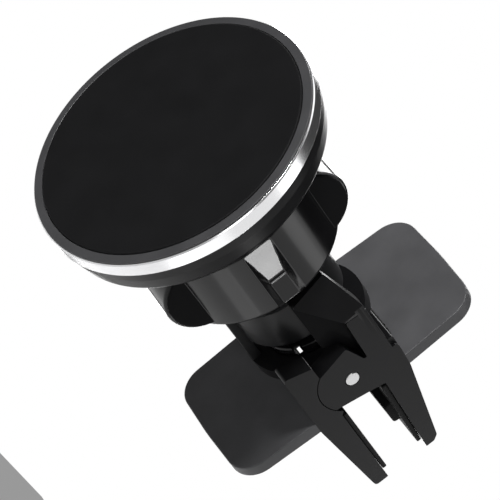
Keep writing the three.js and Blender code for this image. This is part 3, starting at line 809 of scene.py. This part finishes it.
def lean(plate):
    """Leans the plate's outer face inwards towards its front end, and steps it in at its back edge."""
    for vertex in plate.data.vertices:
        if vertex.co.x > WEB_OUTER_X * MM:
            depth = depth_of(vertex.co.y)
            vertex.co.x -= max(LEAN_START - depth, 0) * LEAN * MM
            if depth > STEP_DEPTH:
                vertex.co.x -= STEP_IN * MM


def slice_at(thing, depth):
    """Adds a loop of edges round a solid at a depth."""
    work = bmesh.new()
    work.from_mesh(thing.data)
    everything = work.verts[:] + work.edges[:] + work.faces[:]
    bmesh.ops.bisect_plane(work, geom=everything, plane_co=place(0, depth, 0), plane_no=(0, 1, 0))
    work.to_mesh(thing.data)
    work.free()


def mirror(thing):
    """Turns a solid into its mirror image across the middle plane."""
    for vertex in thing.data.vertices:
        vertex.co.x = -vertex.co.x
    thing.data.flip_normals()


def grip_corner(side):
    """What is cut off the lever's outer corner: it leaves a step, a narrow band and a small raised edge."""
    outline = rounded([
        (13.4, 5.95), (12.66, 5.95), (12.32, 6.55, 0.2), (12.28, 7.05, 0.2), (12.42, 7.25, 0.12),
        (12.3, 7.6, 0.2), (11.7, 7.78), (11.7, 9), (13.4, 9),
    ], 5)
    front, back, flare = 38, 49, 0.45
    cutter = along("cutter", [(side * x, z) for x, z in outline], front, back)
    for vertex in cutter.data.vertices:
        if depth_of(vertex.co.y) > back - 0.5:
            vertex.co.x += side * flare * MM
    return cutter


def moving_jaw():
    """Both lever sides, joined by the prong behind the hinge and the bridge above it."""
    jaw = lever_side(1)
    prong_outline = [(54.0, 3.7)] + PRONG_TIP + [(54.6, 8.4), (54.0, 8.4)]
    prong = across("prong", rounded(prong_outline, 5), -CLIP_HALF_X, CLIP_HALF_X)
    bridge = across("bridge", rounded([
        (BRIDGE_FRONT, 6.9, 0.2), (48.1, 6.9), (52, 5), (54.6, 3.75), (54.6, 8.35), (48.6, 8.65),
        (BRIDGE_FRONT, 8.65, 0.3),
    ], 4), -BRIDGE_HALF_X, BRIDGE_HALF_X)
    fuse(jaw, lever_side(-1), prong, bridge)
    pin_hole = rod("cutter", PIN_HOLE_R, -14, 14)
    grip_recess = block("cutter", -POCKET_HALF_X, POCKET_HALF_X, BRIDGE_FRONT + 0.2, 52.1, 8.1, 9.4)
    cut(jaw, pin_hole, wing_slot(1), grip_recess, grip_corner(1), grip_corner(-1))
    return soften(jaw, 0.18, 3, 38)


def thumb_grip():
    front = BRIDGE_FRONT + 0.5
    base = soften(block("thumb_grip_pad", -GRIP_HALF_X, GRIP_HALF_X, front, 51.8, 8.16, 8.7), 0.15)
    ribs = []
    for i in range(3):
        start = front + 0.3 + RIDGE_PITCH * i
        rib = block("rib", 0.4 - GRIP_HALF_X, GRIP_HALF_X - 0.4, start, start + RIDGE_WIDTH, 8.5, 9)
        ribs.append(soften(rib, 0.18))
    return fuse(base, *ribs)


def fixed_jaw_pad():
    return soften(block("fixed_pad", -JAW_PAD_HALF_X, JAW_PAD_HALF_X, 55, JAW_PAD_BACK, -4.46, -3.7), 0.2)


def moving_jaw_pad():
    """A strip with a bar across it that presses on the louvre."""
    outline = [(55.2, 3.62), (JAW_PAD_BACK, 3.1), (JAW_PAD_BACK, 2.34), (55.2, 2.76)]
    strip = soften(across("moving_pad", outline, -JAW_PAD_HALF_X, JAW_PAD_HALF_X), 0.2)
    bar = across("bar", rounded([
        (62.8, 2.9), (67.2, 2.7), (67, 1.3, 0.5), (63, 1.3, 0.5),
    ], 5), -9, 9)
    return fuse(strip, soften(bar, 0.3, 3, 60))


def hinge_pin():
    return soften(rod("pin", PIN_R, -13.8, 12.72, 72), 0.14)


def pin_ring():
    ring = rod("retaining_ring", RING_R, -13.4, -12.9)
    hole = rod("cutter", PIN_R + 0.02, -14, -12)
    mouth = block("cutter", -14, -12, PIN_DEPTH, PIN_DEPTH + 4, -0.7, 0.7)
    return soften(cut(ring, hole, mouth), 0.08, 2)


# ---------------------------------------------------------------- wings
WING_FRONT = 52.2
WING_BACK = 54.4
WING_ROOT_Z = 7.9
WING_END_Z = 22.4
WING_END_HALF_X = 11.9
WING_CORNER_R = 4.6
WING_PAD_INSET = 0.98
POCKET_INSET = 0.9
POCKET_DEPTH = 0.9
TONGUE_HALF_X = 9
TONGUE_FRONT = 52.9
TONGUE_BACK = 53.7
TONGUE_INNER_Z = 7.2
TONGUE_OUTER_Z = 9.5


def wing_outline(inset, side):
    """A wing's outline of (x, z), drawn in by inset, for the lower side, -1, or the upper side, 1."""
    root, end = WING_ROOT_Z + inset, WING_END_Z - inset
    radius = WING_CORNER_R - inset
    corners = [
        (CLIP_HALF_X - inset, root, 0.2), (WING_END_HALF_X - inset, end, radius), (0, end + 0.35, 60),
        (inset - WING_END_HALF_X, end, radius), (inset - CLIP_HALF_X, root, 0.2),
    ]
    return [(x, side * z) for x, z in rounded(corners, 12)]


def wing(name, side):
    plate = along(name, wing_outline(0, side), WING_FRONT, WING_BACK)
    soften(plate, 0.4, 4, 40)
    pocket = along("cutter", wing_outline(POCKET_INSET, side), WING_BACK - POCKET_DEPTH, WING_BACK + 1)
    z0, z1 = sorted((side * TONGUE_INNER_Z, side * TONGUE_OUTER_Z))
    tongue = block("tongue", -TONGUE_HALF_X, TONGUE_HALF_X, TONGUE_FRONT, TONGUE_BACK, z0, z1)
    return fuse(cut(plate, pocket), tongue)


def wing_pad(name, side):
    outline = wing_outline(WING_PAD_INSET, side)
    return soften(along(name, outline, WING_BACK - 0.85, WING_BACK + 0.1), 0.2)


# ---------------------------------------------------------------- build
make_camera()
make_world()
make_floor()
overhead_light()
# Each light: name, place, width and watts, then the height or the spread where it has one.
area_light("key", (0.16, -0.95, 0.42), 0.22, 1.35, spread=60)
area_light("band", (0.56, 0.54, 0.1), 0.45, 2.2, 1.7)
area_light("strip_low", (0.34, 0.5, -0.47), 0.24, 0.2)
area_light("strip_high", (0.34, 0.5, 0.47), 0.22, 0.22)
area_light("behind", (0.293, 0.527, 0.0), 0.06, 0.17)
area_light("above", (-0.5, 0.08, 0.5), 0.34, 3.8)
area_light("front", (0.665, -0.67, 0.0), 0.3, 1.2)
area_light("far_side", (-0.75, 0.75, 0.1), 0.7, 8)
bpy.context.scene.view_settings.view_transform = "Standard"

dress(face_pad(), "face_rubber", "head", "face_pad")
dress(front_cover(), "rim_plastic", "head", "front_cover")
dress(bezel_ring(), "bezel_metal", "head", "bezel_ring")
dress(rear_housing(), "satin_plastic", "head", "rear_housing")
for number, screw in enumerate(housing_screws(), 1):
    dress(screw, "steel", "head", "housing_screw_%d" % number)
dress(ball_stud(), "steel", "head", "ball_stud")
nut = dress(lock_nut(), "gloss_plastic", "nut", "lock_nut", crease=45)
# The nut's flat ear sides: the same colour as the nut, with a duller, less reflective finish.
dull_and_shade(nut, EAR_HALF_X - 0.3, EAR_HALF_X + 0.2, lambda depth, z: abs(z) > 10.2)
dress(thrust_ring(), "gloss_plastic", "skirt", "nut_skirt")
dress(neck_socket(), "satin_plastic", "clip", "neck_socket")
dress(neck_collar(), "gloss_plastic", "clip", "neck_collar")
dress(clip_body(), "satin_plastic", "clip", "clip_body")
jaw = dress(moving_jaw(), "satin_plastic", "jaw", "moving_jaw")
# Painted shade: the web below the lever's plate gets the darker, duller plastic.
dull_and_shade(jaw, WEB_OUTER_X - 0.1, WEB_OUTER_X + 0.1, lambda depth, z: depth < PIN_DEPTH - 0.2)
dress(thumb_grip(), "rubber", "jaw", "thumb_grip")
dress(fixed_jaw_pad(), "rubber", "clip", "fixed_jaw_pad")
dress(moving_jaw_pad(), "rubber", "jaw", "moving_jaw_pad")
dress(hinge_pin(), "pin_metal", "clip", "hinge_pin")
dress(pin_ring(), "steel", "clip", "pin_ring")
dress(wing("lower_wing_plate", -1), "wing_plastic", "clip", "lower_wing")
dress(wing("upper_wing_plate", 1), "wing_plastic", "jaw", "upper_wing")
dress(wing_pad("lower_wing_rubber", -1), "rubber", "clip", "lower_wing_pad")
dress(wing_pad("upper_wing_rubber", 1), "rubber", "jaw", "upper_wing_pad")

# CAD nodes that are shown as they are, with the material of each.
KEPT = {
    "magnet_carrier": "inner_plastic", "steel_yoke": "steel", "stud_screw": "steel",
    "ball_liner": "liner_plastic", "ball_seat": "inner_plastic", "seat_washer": "steel",
    "stem_screw": "steel", "torsion_spring": "steel",
    **{"magnet_%d" % (i + 1): "magnet" for i in range(6)},
}
for node, material in KEPT.items():
    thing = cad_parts[node]
    thing.data.materials.clear()
    thing.data.materials.append(MATERIALS[material])
